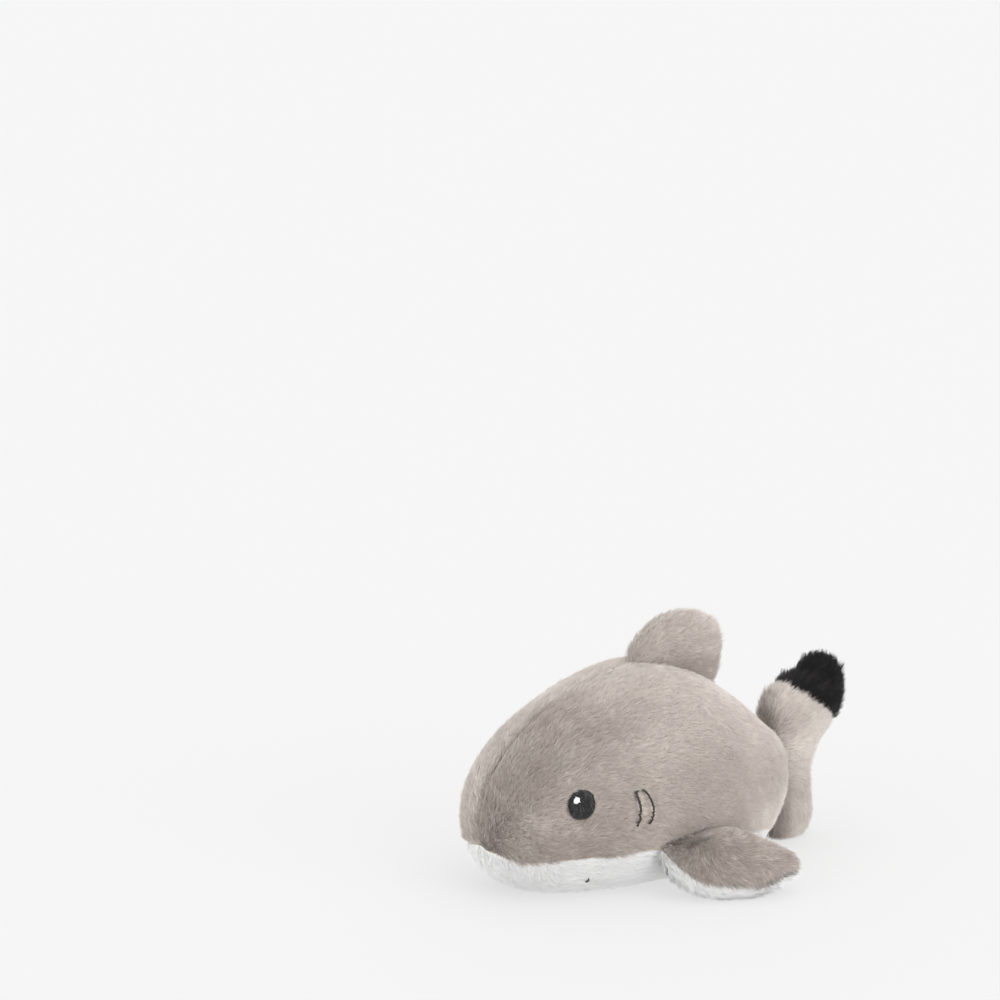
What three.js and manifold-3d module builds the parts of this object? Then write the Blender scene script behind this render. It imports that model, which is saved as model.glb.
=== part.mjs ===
// Plush shark: a stuffed toy with a grey fur back, a white fur belly, a dorsal fin, two pectoral
// fins and an upright tail fin with a black tip. It lies on its belly with its nose towards -Y,
// its tail towards +Y and its left side towards +X. Millimetres, +Z up.
// The origin is the middle of the flat patch that the belly rests on.
//
// Surfaces are the woven backing of the fur. Lengths along the body, called s, run from the
// plane where the tips of the nose's fur end.

import * as THREE from 'three';
import { mergeVertices } from 'three/addons/utils/BufferGeometryUtils.js';
import Module from 'manifold-3d';

const wasm = await Module();
wasm.setup();

// ---- Driving dimensions ----

const SKIN = 2; // thickness of the backing with the pile that is pressed into it
const FIN_SKIN = 1.6; // the same in the fins
const SEAM_GAP = 0.2; // half of the gap between two panels that are sewn together
const LIFT = 0.3; // how far the grey side panels stand off the belly panel
const FILL_GAP = 0.8; // between a panel's inside and the stuffing
const REAR_FILL_GAP = 1.8; // how much wider that gap gets where the belly panel narrows to its end
const ORIGIN_S = 70; // the middle of the belly's flat patch
const BEND = { from: 84, to: 136, turn: 16 }; // where, and how many degrees, the tail curves right

// Body sections: s, half width, top, bottom, height of the widest place, and how far down from
// there to the bottom, as a share, the seam to the belly panel runs. A bottom under 0 is pressed
// flat by the surface that the toy lies on.
const BODY = [
  [2, 0, 18.5, 18.5, 18.5, 0.6],
  [4, 14, 35, 12, 24, 0.6],
  [10, 23.5, 47, 5, 27.5, 0.53],
  [21, 30, 58.5, 0.5, 31, 0.48],
  [36, 35, 68, -2.5, 34.5, 0.47],
  [53, 38, 75.5, -3, 37, 0.48],
  [70, 38.5, 79.5, -3, 38, 0.48],
  [88, 37, 75, -3, 37.5, 0.48],
  [104, 33, 65, 0, 36, 0.5],
  [113, 28.2, 57.3, 4.5, 35, 0.7],
  [120, 22.7, 52, 10.5, 34, 1],
  [126, 16.8, 48.3, 15.5, 32.5, 1],
  [131, 11, 45.5, 18.5, 31.5, 1],
  [135, 7.5, 43, 20, 31, 1],
];
const BELLY_END = 10; // the section where the belly panel's two seams meet
const ROOT_END = 13; // the section where the tail root ends

// The tail sways about an upright line through the tail root, which is round where it meets the
// torso. The tail fin folds about a line inside its own leading edge.
const SWAY_S = 131.5;
const SWAY_RADIUS = 11.5;
const ROUND_ABOVE = 2.1; // exponents of the sections' rounding, above and below the widest place
const ROUND_BELOW = 2.35;

// Tail fin sections from the bottom of the lower lobe to the tip of the upper lobe: leading
// edge s and z, trailing edge s and z, and half thickness.
const TAIL = [
  [141, 0.8, 150, 0.8, 2.4],
  [137.5, 4, 157, 4, 4.8],
  [137, 11, 158.5, 12, 5.6],
  [136.4, 20, 156.5, 21.5, 6.5],
  [135.8, 31, 155.5, 27.5, 7.5],
  [135.6, 43, 158.5, 32.5, 7.5],
  [134.8, 55, 163.5, 37.5, 6.8],
  [143.5, 61, 171, 43.5, 6.2],
  [153, 63, 175.5, 52.5, 5.4],
  [160, 66.8, 176, 60, 4.2],
  [166, 69.3, 172.5, 66, 1.8],
];
const TIP_START = 7; // the section where the black tip starts
const TIP_GAP = 0.03; // half of the gap between it and the grey panels, in sections

// Dorsal fin: sections from the back up to the tip, as leading and trailing s, height above the
// straight line through the root's ends, and half thickness.
const DORSAL_ROOT = [65.5, 103];
const DORSAL = [
  [65.5, 103, 0, 4.4],
  [71, 104.5, 8, 6.2],
  [78, 105.5, 15.5, 6.6],
  [85.2, 105.5, 21.5, 5.4],
  [91.5, 102.5, 24.6, 3.4],
  [96.5, 98.5, 25.6, 1.3],
];
const DORSAL_GAP = 2; // the root's height over the back, which lets the fin tip over

// Left pectoral fin: sections from the root out to the tip, as leading edge x, s, z, trailing
// edge x, s, z and half thickness. The right one is its mirror image.
const PECTORAL = [
  [35.9, 57.5, 17.5, 36.9, 86, 20.5, 1.1],
  [41.5, 58.5, 12.5, 42.5, 90.5, 18.5, 7],
  [47.5, 62.5, 7.8, 47, 95.5, 15, 7.6],
  [52.5, 69, 5.6, 51, 99.5, 12.3, 7.2],
  [56.3, 77.5, 4.6, 54.3, 101.5, 9.8, 6],
  [58.3, 87, 4.6, 56.8, 100.3, 7.8, 3],
];
const PECTORAL_LEAN = 35; // degrees that its upper face leans outwards
const PECTORAL_SEAM = 20; // degrees round its edge that the white underside reaches up

// Embroidery, on the left side and mirrored to the right: where it is in body sections and in
// degrees down from the back's middle line.
const EYE = { section: 3.4, degrees: 80.4, halfLength: 4.9, halfHeight: 4.9, height: 2.1 };
const GLINT = { back: -1.9, up: 2.2, halfLength: 1.15, halfHeight: 1.1, height: 0.5 };
const GILL = { from: 83, to: 98.5, halfWidth: 0.45, height: 0.9 };
const GILL_FRONT = { section: 4.6, bow: 0.05, slant: 0.065 };
const GILL_REAR = { section: 4.78, bow: 0.11, slant: 0.15 };
const MOUTH = { corner: 3.8, middle: 2.35, degrees: 132.3, halfWidth: 0.35, height: 0.5 };
const CLOSING = { from: 7.15, to: 8.1, halfWidth: 0.6, height: 0.8 };
const THREAD_GAP = 0.6; // under embroidery

// ---- Materials ----

const cloth = (colour, roughness) =>
  new THREE.MeshStandardMaterial({ color: colour, roughness, metalness: 0 });
const MATERIALS = {
  greyFur: cloth(0xb3a89f, 0.95),
  whiteFur: cloth(0xf0efec, 0.95),
  blackFur: cloth(0x242324, 0.95),
  blackThread: cloth(0x1d1d1e, 0.55),
  whiteThread: cloth(0xf4f4f2, 0.5),
  darkThread: cloth(0x3c3a3b, 0.6),
  stuffing: cloth(0xf6f5f0, 1),
};

// ---- Curves and grids ----

const { lerp, degToRad } = THREE.MathUtils;
const spaced = (from, to, steps) =>
  Array.from({ length: steps + 1 }, (_, i) => lerp(from, to, i / steps));
const power = (value, exponent) => Math.sign(value) * Math.abs(value) ** exponent;

// Catmull-Rom between rows of numbers. before is the row ahead of the first one.
function rowAt(rows, u, before = rows[0]) {
  const i = Math.min(Math.max(Math.floor(u), 0), rows.length - 2);
  const t = u - i;
  const p = rows[i - 1] ?? before;
  const q = rows[i];
  const r = rows[i + 1];
  const e = rows[i + 2] ?? r;
  return q.map((_, k) => {
    const slope = (r[k] - p[k]) / 2;
    const nextSlope = (e[k] - q[k]) / 2;
    const t2 = t * t;
    const t3 = t2 * t;
    return (2 * t3 - 3 * t2 + 1) * q[k] + (t3 - 2 * t2 + t) * slope
      + (3 * t2 - 2 * t3) * r[k] + (t3 - t2) * nextSlope;
  });
}

// Every piece is drawn along a straight body, and then curves to the right with the tail.
function bent(point) {
  const { from, to, turn } = BEND;
  const s = point.y + ORIGIN_S;
  const share = THREE.MathUtils.clamp((s - from) / (to - from), 0, 1);
  const angle = share * degToRad(turn);
  const radius = (to - from) / degToRad(turn);
  const beyond = Math.max(s - to, 0);
  const spineX = -radius * (1 - Math.cos(angle)) - beyond * Math.sin(angle);
  const spineS = Math.min(s, from) + radius * Math.sin(angle) + beyond * Math.cos(angle);
  const x = spineX + point.x * Math.cos(angle);
  const y = spineS - ORIGIN_S + point.x * Math.sin(angle);
  return new THREE.Vector3(x, y, point.z);
}

// One closed body from triangles that share corners, facing out.
function closedGeometry(corners) {
  const kept = [];
  let volume = 0;
  for (let i = 0; i < corners.length; i += 3) {
    const [a, b, c] = corners.slice(i, i + 3);
    const thin = [[a, b], [b, c], [c, a]].some(([p, q]) => p.distanceTo(q) < 1e-4);
    if (!thin) {
      kept.push([a, b, c]);
      volume += a.dot(b.clone().cross(c));
    }
  }
  const points = kept.flatMap((face) => (volume < 0 ? face.reverse() : face));
  const geometry = new THREE.BufferGeometry().setFromPoints(points);
  return mergeVertices(geometry, 1e-4);
}

const quad = (a, b, c, d) => [a, b, c, a, c, d];

// A panel between two grids of points, closed along its four edges.
function panelGeometry(outer, inner) {
  const corners = [];
  const rows = outer.length - 1;
  const columns = outer[0].length - 1;
  for (let i = 0; i < rows; i += 1) {
    for (let j = 0; j < columns; j += 1) {
      corners.push(...quad(outer[i][j], outer[i + 1][j], outer[i + 1][j + 1], outer[i][j + 1]));
      corners.push(...quad(inner[i][j], inner[i][j + 1], inner[i + 1][j + 1], inner[i + 1][j]));
    }
    corners.push(...quad(outer[i][0], inner[i][0], inner[i + 1][0], outer[i + 1][0]));
    const j = columns;
    corners.push(...quad(outer[i][j], outer[i + 1][j], inner[i + 1][j], inner[i][j]));
  }
  for (let j = 0; j < columns; j += 1) {
    corners.push(...quad(outer[0][j], outer[0][j + 1], inner[0][j + 1], inner[0][j]));
    const i = rows;
    corners.push(...quad(outer[i][j], inner[i][j], inner[i][j + 1], outer[i][j + 1]));
  }
  return closedGeometry(corners);
}

// A solid through closed rings of points, capped at both ends.
function solidGeometry(rings) {
  const corners = [];
  const middle = (ring) => ring
    .reduce((sum, p) => sum.add(p), new THREE.Vector3())
    .divideScalar(ring.length);
  const first = middle(rings[0]);
  const last = middle(rings.at(-1));
  const count = rings[0].length;
  for (let j = 0; j < count; j += 1) {
    const k = (j + 1) % count;
    for (let i = 0; i < rings.length - 1; i += 1) {
      corners.push(...quad(rings[i][j], rings[i + 1][j], rings[i + 1][k], rings[i][k]));
    }
    corners.push(first, rings[0][j], rings[0][k]);
    corners.push(last, rings.at(-1)[k], rings.at(-1)[j]);
  }
  return closedGeometry(corners);
}

// ---- Body surface ----

// The nose is a smooth pole: the row ahead of it is the row after it, turned half round.
const [noseS, noseHalf, noseTop, noseBottom, noseWaist, noseSeam] = BODY[1];
const BEFORE_NOSE = [noseS, -noseHalf, noseBottom, noseTop, noseWaist, noseSeam];
const bodyRow = (u) => rowAt(BODY, u, BEFORE_NOSE);

// A point of the body at section u. The angle is 0 on the back's middle line, and a quarter
// turn on the left flank.
function bodyPoint(u, angle) {
  const [s, half, top, bottom, waist] = bodyRow(u);
  const up = Math.cos(angle);
  const out = Math.sin(angle);
  const round = 2 / (up > 0 ? ROUND_ABOVE : ROUND_BELOW);
  const reach = up > 0 ? top - waist : waist - bottom;
  const z = waist + reach * power(up, round);
  return new THREE.Vector3(half * power(out, round), s - ORIGIN_S, Math.max(z, 0));
}

function bodyNormal(u, angle) {
  if (u < 1e-6) return new THREE.Vector3(0, -1, 0);
  const step = 0.004;
  const along = bodyPoint(u + step, angle).sub(bodyPoint(u - step, angle));
  const round = bodyPoint(u, angle + step).sub(bodyPoint(u, angle - step));
  return round.cross(along).normalize();
}

// A point at a height over the body's surface, or under it where the height is negative.
const overBody = (u, angle, height) =>
  bodyPoint(u, angle).addScaledVector(bodyNormal(u, angle), height);

// The angle of the seam between the left side panel and the belly panel.
function seamAngle(u) {
  const share = Math.min(bodyRow(u)[5], 1);
  return Math.PI - Math.acos(share ** (ROUND_BELOW / 2));
}

// The section whose s is given.
function sectionAt(s) {
  let low = 0;
  let high = BODY.length - 1;
  while (high - low > 1e-6) {
    const u = (low + high) / 2;
    if (bodyRow(u)[0] < s) low = u;
    else high = u;
  }
  return low;
}

// A fur panel of the body, from section to section, between two seams given as angles.
function bodyPanel(sections, fromAngle, toAngle, across, shift) {
  const grid = (height) => sections.map((u) => spaced(fromAngle(u), toAngle(u), across)
    .map((angle) => overBody(u, angle, height).add(shift)));
  return panelGeometry(grid(0), grid(-SKIN));
}

// Stuffing that fills the body between two sections.
function bodyStuffing(sections, around) {
  return solidGeometry(sections.map((u) => {
    const narrowing = THREE.MathUtils.smoothstep(u, BELLY_END - 2, BELLY_END);
    const inset = SKIN + FILL_GAP + REAR_FILL_GAP * narrowing;
    return spaced(0, 2 * Math.PI, around).slice(1).map((angle) => {
      const point = overBody(u, angle, -inset);
      point.z = Math.max(point.z, inset + FILL_GAP);
      return point;
    });
  }));
}

// ---- Fin surfaces ----

// However far a fin is shrunk, its sections keep these shares of their length and thickness.
const LEAST_LENGTH = 0.2;
const LEAST_THICKNESS = 0.35;

// A fin gives, at section v, its leading point, trailing point and half thickness. step is
// about how far apart its sections are. At an angle of 0 a point is on the leading edge, and at
// a quarter turn on the face that the fin's normal leaves. inset shrinks the fin. seam is the
// angle from the edge to the seam of the two faces.
function finPoint(fin, v, angle, inset) {
  const end = fin.count - 1;
  const reached = fin.closedStart ? lerp(inset / fin.step, end - inset / fin.step, v / end)
    : v * (1 - inset / (fin.step * end));
  const { leading, trailing, half } = fin.at(reached);
  const chord = trailing.clone().sub(leading);
  const length = chord.length();
  const halfLength = Math.max(length / 2 - inset, length * LEAST_LENGTH);
  const thick = Math.max(half - inset, half * LEAST_THICKNESS);
  const point = leading.clone().add(trailing).divideScalar(2)
    .addScaledVector(chord.normalize(), -halfLength * Math.cos(angle))
    .addScaledVector(fin.normal, thick * Math.sin(angle));
  if (fin.lift) point.z += fin.lift(point.y, reached);
  return point;
}

// One face of a fin as a fur panel. side is 1 for the face that the normal leaves.
function finPanel(fin, sections, across, side) {
  const shift = fin.normal.clone().multiplyScalar(side * SEAM_GAP);
  const grid = (inset) => sections.map((v) => spaced(fin.seam, side * Math.PI - fin.seam, across)
    .map((angle) => finPoint(fin, v, angle, inset).add(shift)));
  return panelGeometry(grid(0), grid(FIN_SKIN));
}

function finStuffing(fin, sections, around) {
  const inset = FIN_SKIN + FILL_GAP;
  return solidGeometry(sections.map((v) => spaced(0, 2 * Math.PI, around).slice(1)
    .map((angle) => finPoint(fin, v, angle, inset))));
}

const sideways = new THREE.Vector3(1, 0, 0);
const lengthwise = new THREE.Vector3(0, 1, 0);
const upwards = new THREE.Vector3(0, 0, 1);

const tailFin = {
  count: TAIL.length,
  step: 8,
  seam: 0,
  normal: sideways,
  closedStart: true,
  at: (v) => {
    const [s0, z0, s1, z1, half] = rowAt(TAIL, v);
    return {
      leading: new THREE.Vector3(0, s0 - ORIGIN_S, z0),
      trailing: new THREE.Vector3(0, s1 - ORIGIN_S, z1),
      half,
    };
  },
};

// The dorsal fin's root follows the curve of the back, and its tip doesn't.
const backHeight = (s) => bodyRow(sectionAt(s))[2];
const [rootFront, rootBack] = DORSAL_ROOT;
const rootLine = (s) => lerp(
  backHeight(rootFront),
  backHeight(rootBack),
  (s - rootFront) / (rootBack - rootFront),
);
const dorsalFin = {
  count: DORSAL.length,
  step: 6,
  seam: 0,
  normal: sideways,
  at: (v) => {
    const [s0, s1, height, half] = rowAt(DORSAL, v);
    const over = DORSAL_GAP + height;
    return {
      leading: new THREE.Vector3(0, s0 - ORIGIN_S, rootLine(s0) + over),
      trailing: new THREE.Vector3(0, s1 - ORIGIN_S, rootLine(s1) + over),
      half,
    };
  },
  lift: (y, v) => {
    const s = y + ORIGIN_S;
    const fade = (1 - v / (DORSAL.length - 1)) ** 2;
    return Math.max(backHeight(s) - rootLine(s), 0) * fade;
  },
};

const pectoralFin = {
  count: PECTORAL.length,
  step: 7,
  seam: degToRad(PECTORAL_SEAM),
  normal: upwards.clone().applyAxisAngle(lengthwise, degToRad(PECTORAL_LEAN)),
  at: (v) => {
    const [x0, s0, z0, x1, s1, z1, half] = rowAt(PECTORAL, v);
    return {
      leading: new THREE.Vector3(x0, s0 - ORIGIN_S, z0),
      trailing: new THREE.Vector3(x1, s1 - ORIGIN_S, z1),
      half,
    };
  },
};

// ---- Embroidery on the body ----

// A point back and up from a place on the body, measured along its surface, at a height.
function nearBody(place, back, up, height) {
  const step = 0.01;
  const angle = degToRad(place.degrees);
  const perSection = bodyPoint(place.section + step, angle)
    .distanceTo(bodyPoint(place.section, angle)) / step;
  const perRadian = bodyPoint(place.section, angle + step)
    .distanceTo(bodyPoint(place.section, angle)) / step;
  return overBody(place.section + back / perSection, angle - up / perRadian, height);
}

// A domed oval of satin stitch. Each step is a share of its size and of its height.
const DOME = [[1, 0], [1.02, 0.45], [0.88, 0.75], [0.6, 0.92], [0.25, 1]];
function domeGeometry(place, oval, centre, base, around) {
  return solidGeometry(DOME.map(([size, rise]) => spaced(0, 2 * Math.PI, around).slice(1)
    .map((turn) => nearBody(
      place,
      centre.back + size * oval.halfLength * Math.cos(turn),
      centre.up + size * oval.halfHeight * Math.sin(turn),
      base + rise * oval.height,
    ))));
}

// A line of stitches along a path of [section, angle] places.
function stitchGeometry(path, halfWidth, height) {
  const profile = [[-1, 0], [1, 0], [0.7, 1], [-0.7, 1]];
  return solidGeometry(path.map(([u, angle], i) => {
    const [u0, angle0] = path[Math.max(i - 1, 0)];
    const [u1, angle1] = path[Math.min(i + 1, path.length - 1)];
    const along = bodyPoint(u1, angle1).sub(bodyPoint(u0, angle0));
    const across = along.cross(bodyNormal(u, angle)).normalize();
    return profile.map(([side, rise]) => overBody(u, angle, THREAD_GAP + rise * height)
      .addScaledVector(across, side * halfWidth));
  }));
}

// A gill stitch runs down the flank. It slants back, and bows back in the middle.
const gillPath = ({ section, bow, slant }) => spaced(0, 1, 8).map((t) => [
  section + slant * t + bow * 4 * t * (1 - t),
  degToRad(lerp(GILL.from, GILL.to, t)),
]);

// The mouth is one curve under the chin, from the left corner to the right one.
const mouthPath = spaced(-1, 1, 20).map((t) => [
  lerp(MOUTH.middle, MOUTH.corner, t * t),
  Math.PI - t * Math.abs(t) * (Math.PI - degToRad(MOUTH.degrees)),
]);

// The opening that the stuffing went in through, sewn up by hand along the right belly seam.
const closingPath = spaced(CLOSING.from, CLOSING.to, 8).map((u) => [u, -seamAngle(u)]);

// ---- Assembly ----

const shark = new THREE.Group();

const solidOf = (geometry) => new wasm.Manifold(new wasm.Mesh({
  numProp: 3,
  vertProperties: geometry.getAttribute('position').array,
  triVerts: new Uint32Array(geometry.getIndex().array),
}));

function geometryOf(solid) {
  const { vertProperties, triVerts } = solid.getMesh();
  const geometry = new THREE.BufferGeometry();
  geometry.setAttribute('position', new THREE.BufferAttribute(vertProperties, 3));
  geometry.setIndex(new THREE.BufferAttribute(triVerts, 1));
  return geometry;
}

// Adds a piece that was drawn straight. cut takes and returns a solid.
function add(name, straight, material, cut) {
  const geometry = straight.clone();
  const position = geometry.getAttribute('position');
  const point = new THREE.Vector3();
  for (let i = 0; i < position.count; i += 1) {
    const { x, y, z } = bent(point.fromBufferAttribute(position, i));
    position.setXYZ(i, x, y, z);
  }
  const mesh = new THREE.Mesh(cut ? geometryOf(cut(solidOf(geometry))) : geometry, material);
  mesh.name = name;
  shark.add(mesh);
}

// Adds a piece of the left side and its mirror image on the right.
function addPair(name, geometry, material, cut) {
  add(`${name}_left`, geometry, material, cut);
  const mirrored = geometry.clone().scale(-1, 1, 1);
  const index = mirrored.getIndex().array;
  for (let i = 0; i < index.length; i += 3) [index[i], index[i + 1]] = [index[i + 1], index[i]];
  add(`${name}_right`, mirrored, material, cut);
}

// The round end of the tail root, and the hollow for it at the torso's end.
function swayColumn(gap) {
  const { x, y } = bent(new THREE.Vector3(0, SWAY_S - ORIGIN_S, 0));
  const height = 100; // more than the tail root's
  const sides = 40;
  const radius = SWAY_RADIUS + gap;
  const column = new THREE.CylinderGeometry(radius, radius, height, sides);
  column.deleteAttribute('normal');
  column.deleteAttribute('uv');
  return solidOf(mergeVertices(column.rotateX(Math.PI / 2).translate(x, y, height / 2)));
}
const aheadOfSway = (gap) => (solid) => solid.subtract(swayColumn(gap));
const insideSway = (gap) => (solid) => solid.intersect(swayColumn(-gap));

// Where the panels' points are, in sections. They are close together on the round nose.
const noseSections = [0, 0.3, 0.65, 1, 1.5];
const bellySections = [...noseSections, ...spaced(2, BELLY_END, 16)];
const torsoSections = [...bellySections, 10.5, 11, 11.5, 12];
const finSections = [0, 0.5, 1, 1.7, 2.4, 3, 3.6, 4.2, 4.7, 5];
const top = () => 0;
const bottom = () => Math.PI;
const sideShift = new THREE.Vector3(SEAM_GAP, 0, LIFT);
const none = new THREE.Vector3();
const GAP = 0.25; // half of the gap between the torso and the tail root

function addTorso() {
  const side = bodyPanel(torsoSections, top, seamAngle, 8, sideShift);
  addPair('side_panel', side, MATERIALS.greyFur, aheadOfSway(GAP));
  const rightSeam = (u) => 2 * Math.PI - seamAngle(u);
  const belly = bodyPanel(bellySections, seamAngle, rightSeam, 8, none);
  add('belly_panel', belly, MATERIALS.whiteFur, aheadOfSway(GAP));
  const filled = [1.25, 1.6, ...spaced(2, 11.5, 14)];
  add('body_stuffing', bodyStuffing(filled, 16), MATERIALS.stuffing, aheadOfSway(GAP + FILL_GAP));
}

// The tail root is the stretch of the body that turns when the tail sways.
function addTailRoot() {
  const sections = spaced(BELLY_END - 0.3, ROOT_END, 8);
  const side = bodyPanel(sections, top, bottom, 8, sideShift);
  addPair('tail_root', side, MATERIALS.greyFur, insideSway(GAP));
  const filled = bodyStuffing(spaced(BELLY_END, ROOT_END - 0.2, 6), 14);
  add('tail_root_stuffing', filled, MATERIALS.stuffing, insideSway(GAP + FILL_GAP));
}

function addDorsalFin() {
  addPair('dorsal_fin', finPanel(dorsalFin, finSections, 8, 1), MATERIALS.greyFur);
  const stuffing = finStuffing(dorsalFin, [0.2, 1, 1.7, 2.4, 3.1, 3.8], 10);
  add('dorsal_stuffing', stuffing, MATERIALS.stuffing);
}

function addPectoralFins() {
  addPair('pectoral_top', finPanel(pectoralFin, finSections, 8, 1), MATERIALS.greyFur);
  addPair('pectoral_under', finPanel(pectoralFin, finSections, 8, -1), MATERIALS.whiteFur);
  const stuffing = finStuffing(pectoralFin, [1, 1.7, 2.4, 3.1, 3.8], 10);
  addPair('pectoral_stuffing', stuffing, MATERIALS.stuffing);
}

function addTailFin() {
  const lower = [0, 0.4, ...spaced(1, TIP_START - TIP_GAP, 11)];
  const upper = [...spaced(TIP_START + TIP_GAP, 9, 4), 9.6, 10];
  addPair('tail_fin', finPanel(tailFin, lower, 8, 1), MATERIALS.greyFur);
  addPair('tail_tip', finPanel(tailFin, upper, 8, 1), MATERIALS.blackFur);
  add('tail_stuffing', finStuffing(tailFin, spaced(0.6, 9.3, 14), 12), MATERIALS.stuffing);
}

function addFace() {
  const centre = { back: 0, up: 0 };
  addPair('eye', domeGeometry(EYE, EYE, centre, THREAD_GAP, 16), MATERIALS.blackThread);
  const onEye = THREAD_GAP * 2 + EYE.height;
  addPair('eye_glint', domeGeometry(EYE, GLINT, GLINT, onEye, 8), MATERIALS.whiteThread);
  const [front, rear] = [GILL_FRONT, GILL_REAR]
    .map((row) => stitchGeometry(gillPath(row), GILL.halfWidth, GILL.height));
  addPair('gill_stitch_front', front, MATERIALS.darkThread);
  addPair('gill_stitch_rear', rear, MATERIALS.darkThread);
  const mouth = stitchGeometry(mouthPath, MOUTH.halfWidth, MOUTH.height);
  add('mouth_stitch', mouth, MATERIALS.darkThread);
  const closing = stitchGeometry(closingPath, CLOSING.halfWidth, CLOSING.height);
  add('closing_stitch', closing, MATERIALS.whiteThread);
}

addTorso();
addTailRoot();
addDorsalFin();
addPectoralFins();
addTailFin();
addFace();

export default shark;
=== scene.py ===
"""Plush shark: stuffed skins that grow real hairs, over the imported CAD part, on a pale floor.

Metres, +Z up, nose towards -Y, the shark's left side towards +X.
"""

import math

import bmesh
import bpy
import numpy as np
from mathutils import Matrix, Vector
from mathutils.bvhtree import BVHTree
from mathutils.kdtree import KDTree


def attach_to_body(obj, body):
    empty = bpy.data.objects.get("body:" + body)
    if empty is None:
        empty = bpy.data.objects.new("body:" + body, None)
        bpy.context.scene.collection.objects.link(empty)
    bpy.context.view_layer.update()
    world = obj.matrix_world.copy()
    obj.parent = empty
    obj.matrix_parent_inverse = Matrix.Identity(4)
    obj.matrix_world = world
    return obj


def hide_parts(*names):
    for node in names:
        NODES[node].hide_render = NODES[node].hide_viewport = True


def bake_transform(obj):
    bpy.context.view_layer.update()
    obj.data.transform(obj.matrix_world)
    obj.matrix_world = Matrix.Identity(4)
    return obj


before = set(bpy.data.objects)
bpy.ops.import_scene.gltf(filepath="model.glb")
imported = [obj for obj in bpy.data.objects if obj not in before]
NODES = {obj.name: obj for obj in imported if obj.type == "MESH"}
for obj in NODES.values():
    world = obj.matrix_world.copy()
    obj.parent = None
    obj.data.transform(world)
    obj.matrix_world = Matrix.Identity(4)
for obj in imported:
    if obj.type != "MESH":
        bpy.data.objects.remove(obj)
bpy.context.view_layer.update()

MM = 0.001
RANDOM = np.random.default_rng(7)

# ---- Camera: long lens at table height, the shark low and right of the middle ----

CAMERA_AZIMUTH = math.radians(60.5)
CAMERA_ELEVATION = math.radians(9.3)
CAMERA_DISTANCE = 1.2
CAMERA_LENS = 113.7  # mm
FARTHEST_SEEN = 1000
SHARK_MIDDLE = Vector((0, 0, 0.038))
SHARK_RIGHT_OF_MIDDLE = 0.0517
SHARK_BELOW_MIDDLE = 0.103


def add_camera():
    back = Vector((
        math.sin(CAMERA_AZIMUTH) * math.cos(CAMERA_ELEVATION),
        -math.cos(CAMERA_AZIMUTH) * math.cos(CAMERA_ELEVATION),
        math.sin(CAMERA_ELEVATION),
    ))
    right = Vector((math.cos(CAMERA_AZIMUTH), math.sin(CAMERA_AZIMUTH), 0))
    up = back.cross(right)
    aim = SHARK_MIDDLE - right * SHARK_RIGHT_OF_MIDDLE + up * SHARK_BELOW_MIDDLE
    data = bpy.data.cameras.new("camera")
    data.lens = CAMERA_LENS
    data.clip_end = FARTHEST_SEEN
    camera = bpy.data.objects.new("camera", data)
    camera.location = aim + back * CAMERA_DISTANCE
    camera.rotation_mode = "QUATERNION"
    camera.rotation_quaternion = (-back).to_track_quat("-Z", "Y")
    bpy.context.collection.objects.link(camera)
    bpy.context.scene.camera = camera


add_camera()

# ---- Materials ----

# painted light: how strongly the white fur glows, which lifts its shade
WHITE_PAINTED_GLOW = 0.055
NOISE_DETAIL = 6
DARK_BELOW, LIGHT_ABOVE = 0.35, 0.68  # shares of the noise's height
BUMP_STRENGTH = 0.6
BACKING_FINENESS, THREAD_FINENESS, FIBRE_FINENESS = 900, 2600, 300  # lumps to a metre

def linear(red, green, blue):
    """An sRGB colour of 0 to 255 as the linear colour that shaders take."""
    def one(value):
        share = value / 255
        return share / 12.92 if share <= 0.04045 else ((share + 0.055) / 1.055) ** 2.4
    return (one(red), one(green), one(blue), 1)


def plain_material(name, colour, roughness=0.9, sheen=0.0, specular=0.5):
    material = bpy.data.materials.new(name)
    material.use_nodes = True
    shader = material.node_tree.nodes["Principled BSDF"]
    shader.inputs["Base Color"].default_value = colour
    shader.inputs["Roughness"].default_value = roughness
    shader.inputs["Specular IOR Level"].default_value = specular
    shader.inputs["Sheen Weight"].default_value = sheen
    shader.inputs["Sheen Roughness"].default_value = 0.5
    material.diffuse_color = colour
    return material


def glow_softly(material):
    """A faint painted glow, which lifts the white fur's shade and stands for the light that white pile
    passes on from hair to hair.
    """
    shader = material.node_tree.nodes["Principled BSDF"]
    shader.inputs["Emission Color"].default_value = (1, 1, 1, 1)
    shader.inputs["Emission Strength"].default_value = WHITE_PAINTED_GLOW


def shades(name, dark, light, count, **finish):
    """Plain materials from a dark sRGB colour to a light one."""
    made = []
    for i in range(count):
        share = i / (count - 1)
        colour = [d + (li - d) * share for d, li in zip(dark, light)]
        made.append(plain_material(f"{name}_{i}", linear(*colour), **finish))
    return made


GREY_SHADES = shades("grey_fur", (140, 127, 119), (252, 243, 235), 16, sheen=0.15, specular=0.15)
WHITE_SHADES = shades("white_fur", (250, 249, 247), (255, 255, 255), 5, sheen=0.15, specular=0.15)
for shade in WHITE_SHADES:
    glow_softly(shade)
BLACK_SHADES = shades("black_fur", (8, 7, 8), (66, 62, 63), 6, sheen=0.05, specular=0.3)


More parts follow.
